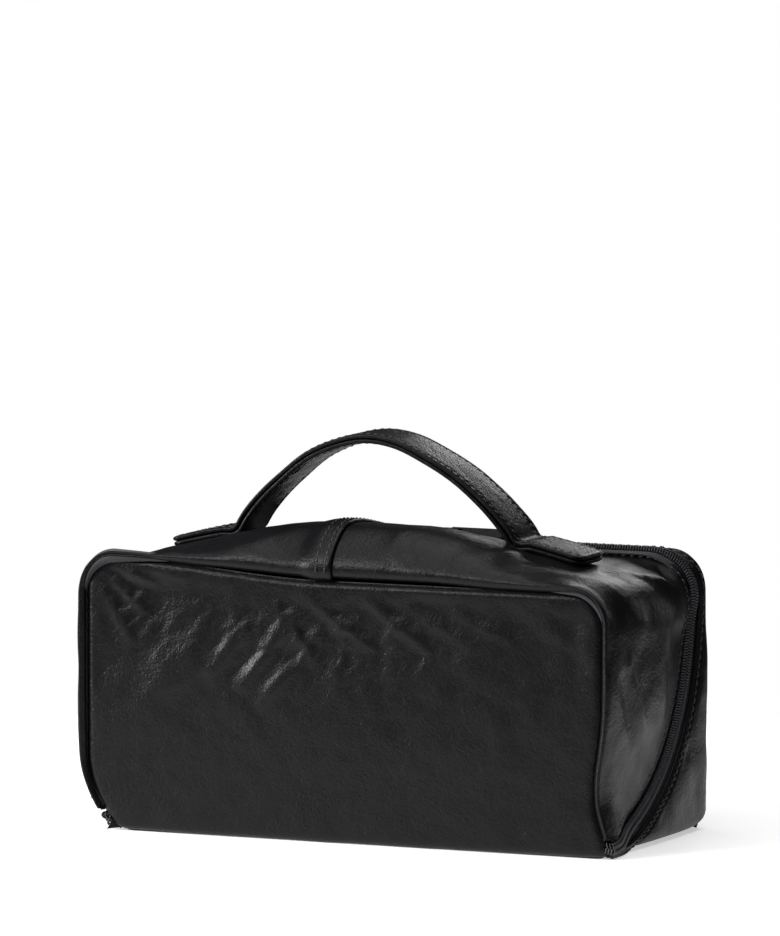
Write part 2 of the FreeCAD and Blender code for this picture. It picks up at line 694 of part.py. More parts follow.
def strap_layer(node, over, layers):
    """Some layers of the handle from tab to tab, under the layers over them."""
    sketch = doc.addObject("Sketcher::SketchObject", f"{node}_line")
    sketch.Placement.Rotation = FRONT_VIEW
    strap = 2 * size("strap_leather") + size("strap_core")
    arch, bend, crown = size("arch_radius"), size("bend_radius"), size("crown_radius")
    arch_z = size("handle_top") - arch
    crown_z = size("crest_height") - crown
    # the bend's centre is one bend radius from the arch and from the top of the tab
    gap = arch_z - crown_z
    rise = ((crown + strap + bend) ** 2 - (arch + bend) ** 2) / (2 * gap) - gap / 2
    bend_z = arch_z + rise
    bend_x = math.sqrt((arch + bend) ** 2 - rise**2)
    to_bend = angle_of(bend_x, rise)
    from_crown = angle_of(bend_x, bend_z - crown_z)
    tab = math.degrees(math.acos(size("tab_end") / (crown + strap)))
    ends, tabs = [], []
    for above in (over, over + layers):
        depth = sum(size(layer) for layer in above)
        formula = " + ".join(above) or "0"
        top = arc(sketch, (0, arch_z), arch - depth, to_bend, 180 - to_bend)
        right = arc(sketch, (bend_x, bend_z), bend + depth, 180 + to_bend, 180 + from_crown)
        left = arc(sketch, (-bend_x, bend_z), bend + depth, -from_crown, -to_bend)
        tab_right = arc(sketch, (0, crown_z), crown + strap - depth, tab, from_crown)
        tab_left = arc(sketch, (0, crown_z), crown + strap - depth, 180 - from_crown, 180 - tab)
        join(sketch, [(top, 1, right, 1), (right, 2, tab_right, 2)])
        join(sketch, [(top, 2, left, 2), (left, 1, tab_left, 1)])
        place(sketch, top, 3, "", "handle_top - arch_radius")
        fix(sketch, "Radius", f"arch_radius - ( {formula} )", top)
        for item in (right, left):
            fix(sketch, "Radius", f"bend_radius + {formula}", item)
        reach = f"( crown_radius + {STRAP} - ( {formula} ) )"
        for item, end, sign in ((tab_right, 1, ""), (tab_left, 2, "- ")):
            place(sketch, item, 3, "", "crest_height - crown_radius")
            fix(sketch, "Radius", reach, item)
            end_x = f"{sign}tab_end * {reach} / ( crown_radius + {STRAP} )"
            fix(sketch, "DistanceX", end_x, -1, 1, item, end)
        ends.append((tab_right, tab_left))
    for outer, inner, end in ((ends[0][0], ends[1][0], 1), (ends[0][1], ends[1][1], 2)):
        start = sketch.getPoint(outer, end)
        stop = sketch.getPoint(inner, end)
        edge = line(sketch, (start.x, start.y), (stop.x, stop.y))
        sketch.addConstraint(Sketcher.Constraint("Coincident", edge, 1, outer, end))
        sketch.addConstraint(Sketcher.Constraint("Coincident", edge, 2, inner, end))
        tabs.append(edge)
    layer = doc.addObject("Part::Extrusion", node)
    layer.Base = sketch
    layer.DirMode = "Custom"
    layer.Dir = ALONG_Y
    layer.Solid = True
    layer.Symmetric = True
    layer.setExpression("LengthFwd", in_sheet("handle_width"))
    layer.setExpression("Placement.Base.y", in_sheet("handle_centre"))
    return keep(layer, node)


strap_layer("handle_strap", [], ["strap_leather"])
strap_layer("handle_core", ["strap_leather"], ["strap_core"])
strap_layer("handle_underside", ["strap_leather", "strap_core"], ["strap_leather"])

backing_shell = cut("backing_shell", under_leather, under_backing)
backing_y = (
    "handle_centre - handle_width / 2 - backing_margin",
    "handle_centre + handle_width / 2 + backing_margin",
)
backing_x = {"right": ("backing_start", "backing_end"), "left": ("- backing_end", "- backing_start")}
for word, reach in backing_x.items():
    space = box(f"backing_space_{word}", reach, backing_y, ("crest_height / 2", FAR))
    keep(common(f"handle_backing_{word}", backing_shell, space), f"handle_backing_{word}")


# ---- check and write -----------------------------------------------------------------------------

doc.recompute()
for item in doc.Objects:
    for state in ("Invalid", "Error"):
        if state in item.State:
            raise RuntimeError(f"{item.Name} is {state}")
os.makedirs("parts", exist_ok=True)
for item in parts:
    shape = item.Shape
    if shape.isNull() or not shape.isValid() or not shape.Solids:
        raise RuntimeError(f"{item.Label} has no valid solid")
    shape.exportStep(f"parts/{item.Label}.step")
    print(f"{item.Label}: {len(shape.Solids)} solid, {shape.Volume:.0f} mm3")
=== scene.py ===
import json
import math

import bpy
import numpy as np
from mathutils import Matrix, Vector, noise

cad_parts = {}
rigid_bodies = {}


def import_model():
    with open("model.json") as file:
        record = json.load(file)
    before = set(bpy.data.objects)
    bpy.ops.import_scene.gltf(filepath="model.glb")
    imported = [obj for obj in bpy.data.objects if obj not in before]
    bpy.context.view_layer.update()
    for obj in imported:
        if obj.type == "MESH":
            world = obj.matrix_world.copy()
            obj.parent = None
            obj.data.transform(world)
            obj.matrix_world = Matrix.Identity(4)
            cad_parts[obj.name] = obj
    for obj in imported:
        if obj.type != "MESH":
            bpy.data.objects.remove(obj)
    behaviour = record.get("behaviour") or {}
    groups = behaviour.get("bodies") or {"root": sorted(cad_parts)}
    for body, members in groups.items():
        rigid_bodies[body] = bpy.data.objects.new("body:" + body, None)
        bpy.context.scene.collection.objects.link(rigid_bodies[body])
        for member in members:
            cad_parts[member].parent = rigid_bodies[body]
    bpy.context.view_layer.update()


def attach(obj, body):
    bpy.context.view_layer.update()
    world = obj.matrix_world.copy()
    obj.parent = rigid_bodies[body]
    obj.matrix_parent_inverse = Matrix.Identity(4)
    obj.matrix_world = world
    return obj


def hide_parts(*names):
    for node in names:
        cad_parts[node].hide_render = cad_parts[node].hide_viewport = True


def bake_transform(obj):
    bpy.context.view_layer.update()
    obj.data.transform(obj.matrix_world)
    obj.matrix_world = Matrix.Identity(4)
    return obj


# ---- Studio --------------------------------------------------------------------------------------
# A white paper sweep under wide soft light from above. Two soft boxes stand in front on the left,
# and three small ones pick out the crest, the handle and the right end. The camera stands to the
# right of the bag's back and a little above it.

bpy.ops.object.select_all(action="SELECT")
bpy.ops.object.delete()
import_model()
bpy.ops.object.select_all(action="DESELECT")
scene = bpy.context.scene
MM = 0.001  # shapes are worked out in mm, and set in m


def colour(code):
    """An sRGB hex colour as linear light."""
    parts = [int(code[i : i + 2], 16) / 255 for i in (1, 3, 5)]
    linear = [c / 12.92 if c <= 0.04045 else ((c + 0.055) / 1.055) ** 2.4 for c in parts]
    return (*linear, 1.0)


def node(tree, kind, inputs, **settings):
    """Add a node with its settings. An input is a value, or a node and the name of its output."""
    item = tree.nodes.new(kind)
    for name, value in settings.items():
        setattr(item, name, value)
    for name, value in inputs.items():
        if isinstance(value, tuple) and isinstance(value[0], bpy.types.Node):
            tree.links.new(value[0].outputs[value[1]], item.inputs[name])
        else:
            item.inputs[name].default_value = value
    return item


def material(name):
    """An empty material with its output and a principled shader."""
    item = bpy.data.materials.new(name)
    item.use_nodes = True
    item.node_tree.nodes.clear()
    shader = item.node_tree.nodes.new("ShaderNodeBsdfPrincipled")
    output = item.node_tree.nodes.new("ShaderNodeOutputMaterial")
    item.node_tree.links.new(shader.outputs["BSDF"], output.inputs["Surface"])
    return item, item.node_tree, shader


scene.view_settings.view_transform = "Standard"
scene.view_settings.look = "None"
world = bpy.data.worlds.new("studio_air")
scene.world = world
world.use_nodes = True
world.node_tree.nodes.clear()
air = world.node_tree
ray = node(air, "ShaderNodeLightPath", {})
seen = node(air, "ShaderNodeBackground", {"Color": (1, 1, 1, 1), "Strength": 1.0})
light = node(air, "ShaderNodeBackground", {"Color": colour("#dfe3ea"), "Strength": 0.05})
shares = {"Fac": (ray, "Is Camera Ray"), 1: (light, 0), 2: (seen, 0)}
both = node(air, "ShaderNodeMixShader", shares)
node(air, "ShaderNodeOutputWorld", {"Surface": (both, "Shader")})

bpy.ops.mesh.primitive_circle_add(vertices=96, radius=0.45, fill_type="NGON")
floor = bpy.context.object
floor.name = "floor"
floor_paint, tree, shader = material("white_paper_sweep")
shader.inputs["Base Color"].default_value = colour("#f2f2f2")
shader.inputs["Roughness"].default_value = 0.75
shader.inputs["Specular IOR Level"].default_value = 0.2
shader.inputs["Emission Color"].default_value = (1, 1, 1, 1)
shader.inputs["Emission Strength"].default_value = 0.50
floor.data.materials.append(floor_paint)

bpy.ops.object.light_add(type="SUN", rotation=(math.radians(8), 0, 0))
overhead = bpy.context.object
overhead.data.energy = 1.52
overhead.data.angle = math.radians(60)
for place, aim, power, width in (
    ((-0.3, 0.5, 1.7), (0, 0, 0.1), 1.5, 0.6),
    ((-0.75, -1.15, 1.05), (0, 0, 0.09), 12.5, 0.5),
    ((-0.2, 1.45, 0.6), (0, 0, 0.15), 1.7, 0.35),
    ((0.08, 1.6, 0.16), (0.13, 0, 0.06), 0.9, 0.3),
    ((-1.7, -0.9, 0.55), (0, 0, 0.09), 33.6, 0.4),
):
    bpy.ops.object.light_add(type="AREA", location=place)
    lamp = bpy.context.object
    lamp.data.energy = power
    lamp.data.shape = "SQUARE"
    lamp.data.size = width
    lamp.rotation_euler = (Vector(aim) - Vector(place)).to_track_quat("-Z", "Y").to_euler()

CAMERA_PLACE = Vector((2.019, -4.534, 0.684))
CAMERA_AIM = Vector((0.002, -0.008, 0.170))
bpy.ops.object.camera_add(location=CAMERA_PLACE)
camera = bpy.context.object
camera.data.lens = 412
camera.data.sensor_width = 36
camera.rotation_euler = (CAMERA_AIM - CAMERA_PLACE).to_track_quat("-Z", "Y").to_euler()
scene.camera = camera
bpy.ops.object.select_all(action="DESELECT")

# ---- The back panel ------------------------------------------------------------------------------
# Soft nappa calfskin, about 1.5 mm thick, over a thin foam pad. It is sewn face to face to the
# gusset and turned, so its edge rolls down into a narrow groove, and it creases near its corners.

SEAM_HALF = 130.5
SEAM_TOP = 122.0
SEAM_CORNER = 15.0
LEFT_RISE = 6.5
BACK_FACE = -61.0
HINGE_Y, HINGE_Z = -57.0, 4.0
GROOVE = 2.1
LEATHER = 1.3

# Nappa calfskin, drum dyed black and lightly finished: a low satin shine broken up by a pebbled
# grain of about 1 mm, with finer pores and faint crinkle lines between the pebbles.
leather, tree, shader = material("black_nappa_calfskin")
spot = node(tree, "ShaderNodeTexCoord", {})
drift = node(
    tree, "ShaderNodeTexNoise", {"Vector": (spot, "Object"), "Scale": 260.0, "Detail": 3.0}
)
bent = node(
    tree,
    "ShaderNodeMix",
    {"Factor": 0.0035, 4: (spot, "Object"), 5: (drift, "Color")},
    data_type="VECTOR",
)
pebble = node(
    tree,
    "ShaderNodeTexVoronoi",
    {"Vector": (bent, 1), "Scale": 820.0, "Smoothness": 0.35},
    feature="SMOOTH_F1",
)
crinkle = node(
    tree,
    "ShaderNodeTexVoronoi",
    {"Vector": (bent, 1), "Scale": 330.0},
    feature="DISTANCE_TO_EDGE",
)
crinkle_line = node(tree, "ShaderNodeMapRange", {"Value": (crinkle, "Distance"), "From Max": 0.12})
pores = node(
    tree, "ShaderNodeTexNoise", {"Vector": (spot, "Object"), "Scale": 2600.0, "Detail": 2.0}
)
slack = node(tree, "ShaderNodeTexNoise", {"Vector": (spot, "Object"), "Scale": 95.0, "Detail": 4.0})
patch = node(tree, "ShaderNodeTexNoise", {"Vector": (spot, "Object"), "Scale": 26.0, "Detail": 2.0})
grain_1 = node(tree, "ShaderNodeMath", {0: (pebble, "Distance"), 1: -0.75}, operation="MULTIPLY")
grain_2 = node(
    tree,
    "ShaderNodeMath",
    {0: (crinkle_line, "Result"), 1: 0.22, 2: (grain_1, 0)},
    operation="MULTIPLY_ADD",
)
grain_3 = node(
    tree, "ShaderNodeMath", {0: (pores, 0), 1: 0.30, 2: (grain_2, 0)}, operation="MULTIPLY_ADD"
)
grain = node(tree, "ShaderNodeBump", {"Height": (grain_3, 0), "Distance": 0.00024, "Strength": 0.6})
undulation = node(
    tree,
    "ShaderNodeBump",
    {"Height": (slack, 0), "Distance": 0.0016, "Strength": 0.35, "Normal": (grain, "Normal")},
)
tone = node(
    tree,
    "ShaderNodeMix",
    {"Factor": (patch, 0), 6: colour("#08080a"), 7: colour("#0f0f11")},
    data_type="RGBA",
)
shine = node(tree, "ShaderNodeMapRange", {"Value": (slack, 0), "To Min": 0.30, "To Max": 0.44})
tree.links.new(tone.outputs[2], shader.inputs["Base Color"])
tree.links.new(shine.outputs["Result"], shader.inputs["Roughness"])
tree.links.new(undulation.outputs["Normal"], shader.inputs["Normal"])
shader.inputs["Specular IOR Level"].default_value = 0.20


def ramp(value, low, high):
    """A smooth step from 0 at low to 1 at high."""
    share = np.clip((value - low) / (high - low), 0, 1)
    return share * share * (3 - 2 * share)


def seam_top(x):
    """How high the back seam runs. It is drawn up towards the left corner."""
    return SEAM_TOP + LEFT_RISE * ramp(-x, 10, 118)


def drawn_in(x, z):
    """How far the end seams lean: the left foot is rounded off and the right one splays."""
    left_foot = 17.0 * np.clip((36 - z) / 36, 0, 1) ** 2
    right_foot = 3.2 * (1 - ramp(z, 2, 26)) - 3.4 * np.exp(-(((z - 34) / 20) ** 2))
    return np.where(x < 0, left_foot * ramp(-x, 60, 128), right_foot * ramp(x, 60, 128))


def sheet(name, columns, rows, place, skin):
    """A flat grid of leather or cloth, pulled into shape point by point, with its material."""
    bpy.ops.mesh.primitive_grid_add(x_subdivisions=columns, y_subdivisions=rows, size=2)
    item = bpy.context.object
    item.name = name
    flat = np.zeros(len(item.data.vertices) * 3)
    item.data.vertices.foreach_get("co", flat)
    flat = flat.reshape(-1, 3)
    shaped = place((flat[:, 0] + 1) / 2, (flat[:, 1] + 1) / 2)
    item.data.vertices.foreach_set("co", (shaped * MM).ravel())
    item.data.materials.append(skin)
    item.data.shade_smooth()
    item.select_set(False)
    return item


def finish_mesh(item, thickness, outward):
    """Turn a sheet's faces to its outer side, and give it its thickness on the inner side."""
    mesh = item.data
    mesh.update()
    faced = sum(face.area * face.normal.dot(Vector(outward(face.center))) for face in mesh.polygons)
    bpy.ops.object.select_all(action="DESELECT")
    item.select_set(True)
    bpy.context.view_layer.objects.active = item
    if faced < 0:
        mesh.flip_normals()
    if thickness:
        wall = item.modifiers.new("wall", "SOLIDIFY")
        wall.thickness = thickness * MM
        wall.offset = -1
        bpy.ops.object.modifier_apply(modifier=wall.name)
    item.data.shade_smooth()
    item.select_set(False)
    return item


def folds(points, lines):
    """How far soft folds lift a surface. Each is two ends, a width and a height in mm."""
    lift = np.zeros(len(points))
    for start, end, width, height in lines:
        start, end = np.array(start, float), np.array(end, float)
        run = end - start
        share = np.clip(((points - start) @ run) / (run @ run), 0, 1)
        away = np.linalg.norm(points - start - share[:, None] * run, axis=1)
        fade = 0.35 + 0.65 * np.sin(math.pi * np.clip(share, 0.08, 0.92))
        lift += height * fade * np.exp(-((away / width) ** 2))
    return lift


def ripple(points, spacing, height, seed):
    """Gentle unevenness with about the given spacing, in mm."""
    shift = Vector((seed * 13.7, seed * 5.1, seed * 9.3))
    values = [noise.noise(Vector(p) / spacing + shift) for p in points.tolist()]
    return height * np.array(values)


def rolled(edge):
    """How far a panel rolls down towards its seam, at each distance from the seam."""
    return GROOVE * np.exp(-((edge / 1.7) ** 2)) + 0.5 * np.exp(-edge / 7)


# two ends, a width and a height for each fold
BACK_FOLDS = (
    ((-119, 0, 126), (-96, 0, 117), 2.4, 0.9),
    ((-120, 0, 121), (-101, 0, 104), 2.6, 0.8),
    ((-121, 0, 113), (-108, 0, 92), 2.8, 0.7),
    ((-113, 0, 128), (-80, 0, 121), 2.6, 0.8),
    ((-66, 0, 78), (-46, 0, 101), 4.2, 1.1),
    ((-58, 0, 70), (-38, 0, 94), 3.2, -0.3),
    ((-50, 0, 72), (-24, 0, 104), 3.6, 1.1),
    ((-40, 0, 64), (-20, 0, 84), 3.6, 0.8),
    ((-31, 0, 108), (-14, 0, 86), 3.0, 0.8),
    ((-20, 0, 112), (4, 0, 88), 3.4, -0.3),
    ((-12, 0, 110), (16, 0, 92), 2.6, 0.8),
    ((14, 0, 113), (44, 0, 92), 3.2, 0.8),
    ((36, 0, 111), (66, 0, 95), 3.6, 0.6),
    ((58, 0, 110), (84, 0, 99), 3.2, 0.5),
    ((-96, 0, 60), (-70, 0, 96), 9.0, 0.8),
    ((92, 0, 112), (121, 0, 96), 5.0, 0.6),
)


def panel_grid(u, v, low, top_of, corner):
    """Spread a grid over an upright panel with round upper corners: x, z and distance to edge."""
    columns = 2 * u - 1
    straight = 0.86
    swing = np.clip((v - straight) / (1 - straight), 0, 1) * math.pi / 2
    x = columns * SEAM_HALF
    for _ in range(3):
        top = top_of(x)
        upright = low + (top - corner - low) * v / straight
        rise = np.where(v < straight, upright, top - corner + corner * np.sin(swing))
        above = np.clip(rise - top + corner, 0, corner)
        inset = corner - np.sqrt(np.clip(corner**2 - above**2, 0, None))
        x = columns * (SEAM_HALF - inset)
    side = SEAM_HALF - np.abs(x)
    over = top - rise
    turn = np.hypot(np.clip(corner - side, 0, None), np.clip(corner - over, 0, None))
    edge = np.where((side < corner) & (over < corner), corner - turn, np.minimum(side, over))
    return x, rise, np.clip(edge, 0, None)


def shape_back(u, v):
    """The back panel, from the fold that turns under it up to its seam."""
    fold_share = 0.06
    upright = np.clip((v - fold_share) / (1 - fold_share), 0, 1)
    x, z, edge = panel_grid(u, upright, HINGE_Z, seam_top, SEAM_CORNER)
    turn = np.clip(1 - v / fold_share, 0, 1) * math.pi / 2
    depth = rolled(edge)
    points = np.stack([x, np.zeros_like(x), z], axis=1)
    calm = ramp(edge, 2, 9) * (0.25 + 0.75 * ramp(z, 30, 70))
    relief = 1.5 * folds(points, BACK_FOLDS)
    relief = relief + ripple(points, 34, 1.0, 1) + ripple(points, 13, 0.45, 2)
    worn = np.exp(-(((x + 18) / 62) ** 2) - ((z - 96) / 24) ** 2)
    worn += 0.6 * np.exp(-(((x + 108) / 20) ** 2) - ((z - 108) / 26) ** 2)
    turned = np.stack([(x + z) * 0.5, points[:, 1], z - x], axis=1)
    relief += worn * (ripple(turned, 7, 0.75, 3) + ripple(turned, 3.4, 0.3, 4))
    y = BACK_FACE + 0.7 * ramp(z, 4, 30) + depth - np.clip(relief, -1.8, 1.2) * calm
    y += 0.5 * ramp(np.abs(x), 60, 128) + 1.9 * ramp(z, 45, 130) * ramp(edge, 0, 16)
    radius = HINGE_Y - y
    y = np.where(turn > 0, HINGE_Y - radius * np.cos(turn), y)
    z = np.where(turn > 0, HINGE_Z - radius * np.sin(turn), z)
    return np.stack([x + drawn_in(x, z), y, z], axis=1)


back = sheet("back_leather", 236, 124, shape_back, leather)
finish_mesh(back, LEATHER, lambda place: (0, -1, 0))
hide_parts("back_panel", "back_padding", "hinge_fold")
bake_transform(back)

# ---- The lid gusset ------------------------------------------------------------------------------
# Two strips of the same calfskin run from the back seam over the top and down both ends to the
# zip. They lap in the middle of the top, where the left one is turned under and stitched down
# twice. The strip rolls over the back seam, domes, and dips before it climbs to the zip.

# depth, height, half length, corner radius and crown of the bag at each station, back to front
STATIONS = np.array([
    (-58.8, 122.0, 130.5, 15.0, 0.0),
    (-60.3, 123.3, 131.8, 16.0, 0.0),
    (-60.9, 125.0, 132.9, 17.0, 0.0),
    (-60.6, 127.3, 133.8, 18.0, 0.0004),
    (-59.0, 130.2, 134.4, 19.5, 0.0008),
    (-55.5, 134.2, 134.8, 21.5, 0.0014),
    (-50.0, 138.4, 135.0, 23.5, 0.0020),
    (-43.0, 141.8, 135.0, 25.0, 0.0024),
    (-35.5, 143.2, 135.0, 25.0, 0.0025),
    (-25.0, 143.4, 135.0, 25.0, 0.0025),
    (-10.0, 142.4, 135.0, 25.0, 0.0025),
    (5.0, 140.4, 135.0, 25.0, 0.0024),
    (20.0, 137.1, 135.0, 25.5, 0.0020),
    (32.0, 133.2, 135.0, 26.0, 0.0012),
    (39.0, 130.6, 134.9, 27.0, 0.0006),
    (43.5, 129.6, 134.8, 27.0, 0.0003),
    (47.0, 130.4, 134.7, 27.0, 0.0001),
    (50.5, 132.0, 134.6, 27.0, 0.0),
    (54.5, 134.0, 134.5, 27.0, 0.0),
    (57.0, 135.1, 134.3, 26.0, 0.0),
    (59.3, 134.6, 133.6, 23.0, 0.0),
    (60.7, 132.8, 132.4, 19.0, 0.0),
    (61.0, 130.8, 131.3, 16.0, 0.0),
    (60.2, 129.0, 130.5, 15.0, 0.0),
])
REACH = np.concatenate([[0], np.cumsum(np.hypot(*np.diff(STATIONS[:, :2], axis=0).T))])
SIDE, BEND, HALF = 102.0, 31.8, 252.9
FOOT = 6.0
ZIP_Y, ZIP_Z, ZIP_R = -59.5, 115.0, 110.0
EDGE_GAP = 4.3
LAP_X = -4.0


def through(stations, values, where):
    """A smooth curve through values at rising stations."""
    slope = np.gradient(values, stations)
    index = np.clip(np.searchsorted(stations, where) - 1, 0, len(stations) - 2)
    step = stations[index + 1] - stations[index]
    share = np.clip((where - stations[index]) / step, 0, 1)
    low, high = values[index], values[index + 1]
    rise, fall = slope[index] * step, slope[index + 1] * step
    square, cube = share**2, share**3
    return (
        (2 * cube - 3 * square + 1) * low
        + (cube - 2 * square + share) * rise
        + (3 * square - 2 * cube) * high
        + (cube - square) * fall
    )


def body(q, reach, side=1.0):
    """A point on the bag's skin, q mm up the end and over the top, reach mm from the back seam."""
    y, top, half, corner, crown = (through(REACH, STATIONS[:, i], reach) for i in range(5))
    radius = 1 / np.maximum(crown, 1e-5)
    corner_x = half - corner
    corner_z = top - radius + np.sqrt((radius - corner) ** 2 - corner_x**2)
    lean = np.arctan2(corner_z - top + radius, corner_x)
    turn = lean * np.clip((q - SIDE) / BEND, 0, 1)
    x = corner_x + corner * np.cos(turn)
    z = np.where(q < SIDE, corner_z * q / SIDE, corner_z + corner * np.sin(turn))
    swing = lean + (math.pi / 2 - lean) * np.maximum((q - SIDE - BEND) / (HALF - SIDE - BEND), 0)
    x = np.where(q > SIDE + BEND, radius * np.cos(swing), x)
    z = np.where(q > SIDE + BEND, top - radius + radius * np.sin(swing), z)
    crest = np.exp(-(((reach - 32) / 34) ** 2))
    shoulder = np.exp(-((np.abs(x) / 66) ** 6))
    z += 3.6 * crest * shoulder * ramp(q, SIDE, SIDE + 2 * BEND)
    slump = 5.2 * ramp(x, 30, 95) * ramp(reach, 70, 115) * ramp(q, SIDE - 10, SIDE + BEND)
    z -= np.where(side < 0, slump, 0)
    rim = ramp(reach, REACH[17] - 1, REACH[18] + 1) * (1 - ramp(reach, REACH[20], REACH[23]))
    z -= 3.7 * rim * ramp(x, 25, 60) * ramp(q, SIDE - 5, SIDE + BEND + 5)
    low = np.clip(FOOT - z, 0, FOOT)
    x -= FOOT - np.sqrt(np.clip(FOOT**2 - low**2, 0, None))
    drawn_up = (seam_top(-x) - SEAM_TOP) * (1 - ramp(reach, 0, 26))
    z += np.where(side < 0, drawn_up * ramp(q, SIDE - 60, SIDE + BEND), 0)
    fade_from, fade_to = np.where(side < 0, 40, 10), np.where(side < 0, 125, 60)
    x += drawn_in(x * side, z) * side * (1 - ramp(reach, fade_from, fade_to))
    from_zip = np.where(q < ZIP_Z, np.hypot(y - ZIP_Y, q - ZIP_Z) - ZIP_R, y - ZIP_Y - ZIP_R)
    valley = np.exp(-(((from_zip + 4) / np.where(from_zip < -4, 26, 9)) ** 2))
    x -= 6.0 * valley * (1 - ramp(q, 90, 122)) * (0.15 + 0.85 * ramp(y, -56, -20))
    return np.stack([x * side, y, z], axis=1)


def facing(q, reach, side=1.0):
    """The outward direction of the bag's skin."""
    along = body(q + 0.4, reach, side) - body(q - 0.4, reach, side)
    across = body(q, reach + 0.3, side) - body(q, reach - 0.3, side)
    out = np.cross(across, along) * np.reshape(side, (-1, 1))
    return out / np.maximum(np.linalg.norm(out, axis=1), 1e-9)[:, None]


def reach_of(y):
    """How far from the back seam the skin is at a given depth, past the rolled edge."""
    return np.interp(y, STATIONS[4:22, 0], REACH[4:22])


GUSSET_FOLDS = (
    ((28, -56, 131), (42, -30, 142), 3.2, 0.7),
    ((52, -58, 126), (78, -34, 139), 4.0, 1.1),
    ((60, -59, 125), (92, -38, 134), 3.0, -1.0),
    ((84, -57, 128), (112, -40, 130), 4.6, 1.0),
    ((18, -58, 127), (24, -40, 139), 2.6, 0.6),
    ((-92, -57, 130), (-66, -38, 139), 4.5, 1.0),
    ((-60, -57, 129), (-30, -42, 141), 4.5, 0.9),
    ((-126, -54, 112), (-116, -36, 124), 3.6, 0.8),
    ((110, -8, 131), (122, 14, 123), 4.0, 1.6),
    ((122, 14, 123), (131, 42, 110), 4.0, 1.7),
    ((-110, -8, 131), (-122, 14, 123), 4.5, 1.3),
    ((-122, 14, 123), (-131, 42, 110), 4.5, 1.3),
    ((118, 34, 126), (127, 43, 118), 9.0, -3.6),
    ((-118, 34, 126), (-127, 43, 118), 9.0, -3.2),
    ((135, -36, 88), (135, -14, 48), 4.0, 1.4),
    ((135, -45, 80), (135, -26, 44), 4.0, -1.2),
    ((135, 4, 92), (135, 12, 60), 6.0, 0.6),
    ((-135, -34, 84), (-135, -12, 46), 5.0, 1.2),
    ((-135, -44, 70), (-135, -26, 40), 5.0, -0.9),
    ((120, -57, 118), (126, -48, 112), 3.0, 0.8),
)


def relieved(q, reach, side, seed, calm, out):
    """The skin with its folds and unevenness, calmed near its seams."""
    points = body(q, reach, side)
    relief = folds(points, GUSSET_FOLDS)
    relief = relief + ripple(points, 30, 1.3, seed) + ripple(points, 12, 0.5, seed + 1)
    return points + facing(q, reach, side) * (relief * calm + out)[:, None]


def hemmed(away):
    """How far the leather beside the zip turns in at its edge, and dips under its stitches."""
    return -0.55 * np.exp(-((away / 0.7) ** 2)) - 0.35 * np.exp(-(((away - 3.2) / 0.9) ** 2))


def edge_of_lid(q):
    """Where the lid's leather ends beside the zip, from the back seam."""
    angle = np.arccos(np.clip((ZIP_Z - q) / (ZIP_R - EDGE_GAP), -1, 1))
    on_arc = ZIP_Y + (ZIP_R - EDGE_GAP) * np.sin(angle)
    y = np.where(q < ZIP_Z, on_arc, ZIP_Y + ZIP_R - EDGE_GAP * 0.9)
    return reach_of(np.maximum(y, -58.6))


def lid_rows(v, last):
    """Rows up the end, as close as the zip's arc needs, and then along the top."""
    share = np.clip(v / 0.42, 0, 1)
    arc = ZIP_Z - (ZIP_R - EDGE_GAP) * np.cos(math.radians(2) + share * math.radians(88))
    return np.where(v < 0.42, arc, ZIP_Z + (last - ZIP_Z) * np.clip((v - 0.42) / 0.58, 0, 1))


def shape_lid_gusset(side, last, lap):
    """One half of the lid gusset, up to its last row. A lapped one steps up over the other."""

    def place(u, v):
        q = lid_rows(v, last)
        limit = edge_of_lid(q)
        reach = limit * u
        calm = ramp(reach, 3, 12) * ramp(limit - reach, 1.5, 10)
        lapped = np.zeros_like(q)
        if lap:
            lapped = 1.5 * ramp(q, last - 19.0, last - 9.0) - 0.6 * ramp(q, last - 1.0, last)
        calm = calm * (1 - ramp(q, HALF - 26, HALF - 15))
        return relieved(q, reach, side, 5 if side > 0 else 9, calm, hemmed(limit - reach) + lapped)

    return place


def outward(place):
    """Roughly the outward direction, over the top and down both ends."""
    return (0, 0, 1) if place.z > 0.1 else (place.x, 0, 0)


to_right = shape_lid_gusset(1.0, HALF + 5.0, False)
to_left = shape_lid_gusset(-1.0, HALF + LAP_X, True)
right = sheet("lid_gusset_leather_right", 74, 200, to_right, leather)
finish_mesh(right, LEATHER, outward)
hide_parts("lid_gusset_right")
left = sheet("lid_gusset_leather_left", 74, 200, to_left, leather)
finish_mesh(left, LEATHER, outward)
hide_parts("lid_gusset_left")
for item in (right, left):
    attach(item, "lid")

# ---- The base gusset, the front panel and the bottom ---------------------------------------------
# The lower ends and the narrow rim along the front are one strip of calfskin that follows the
# zip. The front panel is like the back one, with the same rolled seam, and turns under into the
# bottom. The bottom is sewn to the fold of the back panel, which is the hinge.

BOTTOM = 2.2
FRONT_FACE, FRONT_TOP = 61.0, 129.0
CORNER_SHARPNESS = 14.0
FRONT_FOLDS = (
    ((-60, 0, 108), (-30, 0, 84), 5.0, 0.9),
    ((-20, 0, 112), (8, 0, 86), 4.0, -0.7),
    ((30, 0, 110), (64, 0, 88), 4.5, 0.8),
    ((96, 0, 116), (122, 0, 100), 4.0, 0.7),
    ((-120, 0, 116), (-98, 0, 100), 4.0, 0.7),
    ((-90, 0, 40), (-50, 0, 70), 8.0, 0.6),
)


